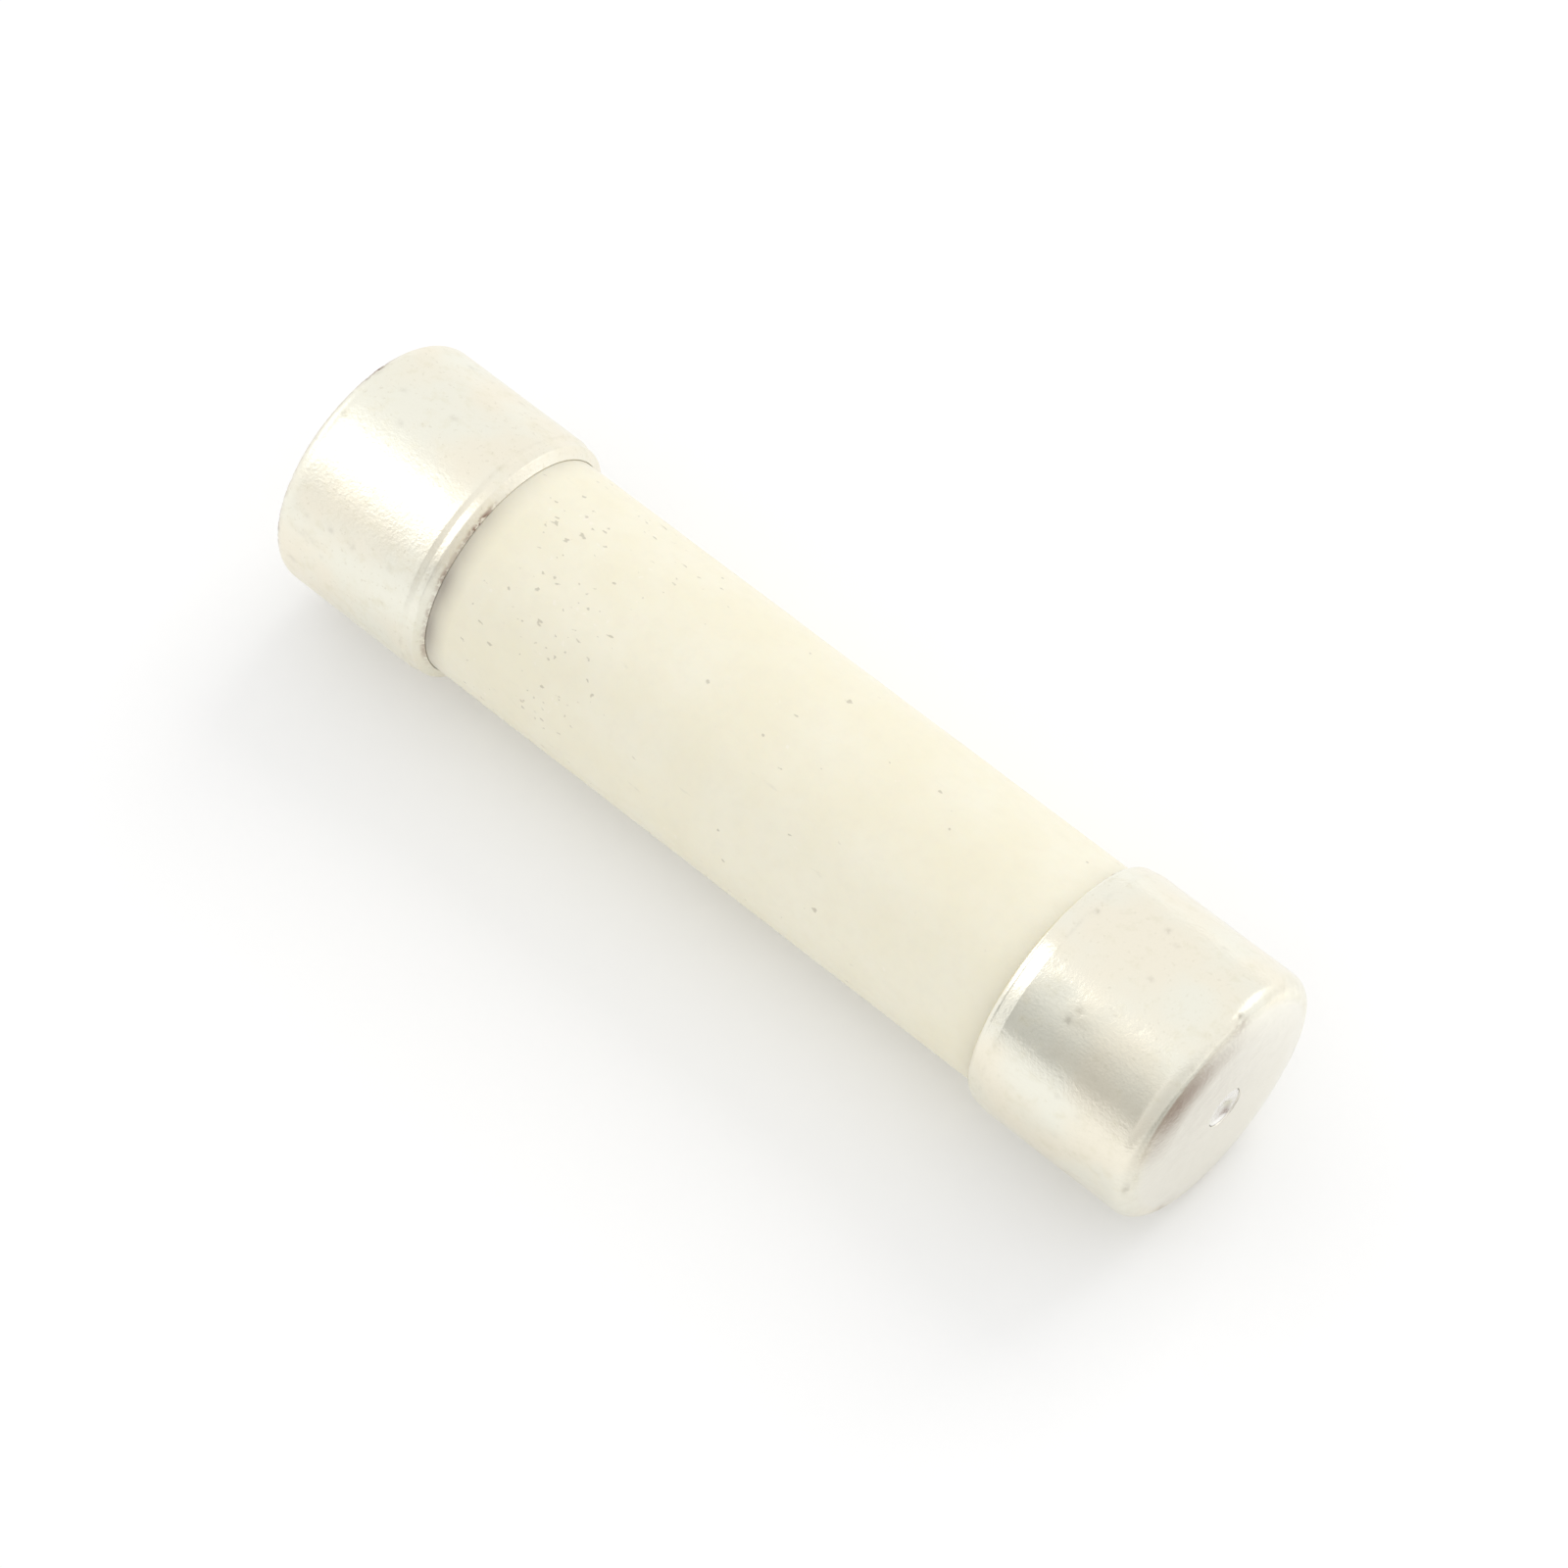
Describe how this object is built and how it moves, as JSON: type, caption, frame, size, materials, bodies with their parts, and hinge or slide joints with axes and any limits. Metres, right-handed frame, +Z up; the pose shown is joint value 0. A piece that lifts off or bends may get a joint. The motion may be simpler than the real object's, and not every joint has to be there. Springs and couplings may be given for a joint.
{
  "type": "cartridge fuse",
  "caption": "Sand-filled ceramic cartridge fuse with a plated metal cap at each end, held in spring clips by its caps.",
  "frame": {"origin": "centre of the fuse, on its axis halfway between the two flat ends", "axes": "+X along the fuse's axis towards the right end cap, +Z up while the fuse lies on its side"},
  "size_m": [0.0254, 0.0064, 0.0064],
  "materials": {
    "ceramic": "satin",
    "nickel": "satin nickel plate",
    "fibre": "matte",
    "solder": "satin",
    "silvered_copper": "gloss",
    "tin": "satin",
    "sand": "matte"
  },
  "bodies": {
    "root": {"ceramic_tube": "ceramic", "left_end_cap": "nickel", "right_end_cap": "nickel", "left_sealing_disc": "fibre", "right_sealing_disc": "fibre", "left_solder_joint": "solder", "right_solder_joint": "solder", "fuse_wire": "silvered_copper", "tin_bead": "tin", "sand_filler": "sand"}
  },
  "joints": []
}
